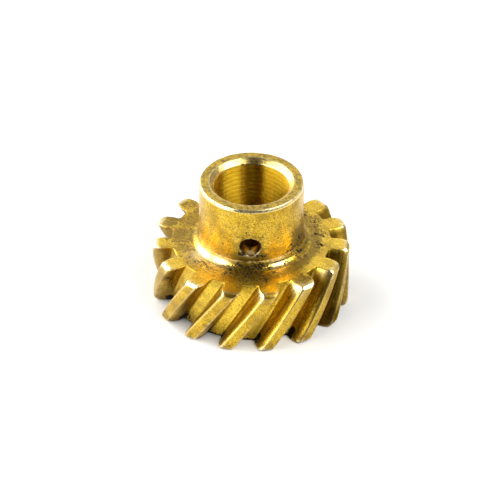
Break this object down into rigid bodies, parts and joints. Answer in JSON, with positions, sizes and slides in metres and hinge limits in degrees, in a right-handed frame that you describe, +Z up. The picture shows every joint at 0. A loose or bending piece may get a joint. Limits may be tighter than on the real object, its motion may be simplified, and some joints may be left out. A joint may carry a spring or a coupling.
{
  "type": "helical drive gear",
  "caption": "Bronze crossed-axis helical drive gear with a plain hub, a straight shaft bore and a pin hole in one wall of the hub.",
  "frame": {"origin": "centre of the gear's bottom face, on the bore axis, where the gear rests", "axes": "+Z up the bore axis from the toothed end to the hub, -Y out of the pin hole"},
  "size_m": [0.0318, 0.0318, 0.0221],
  "materials": {
    "bronze": "machined golden bronze with light tarnish and handling grime"
  },
  "bodies": {
    "root": {"helical_gear": "bronze"}
  },
  "joints": []
}
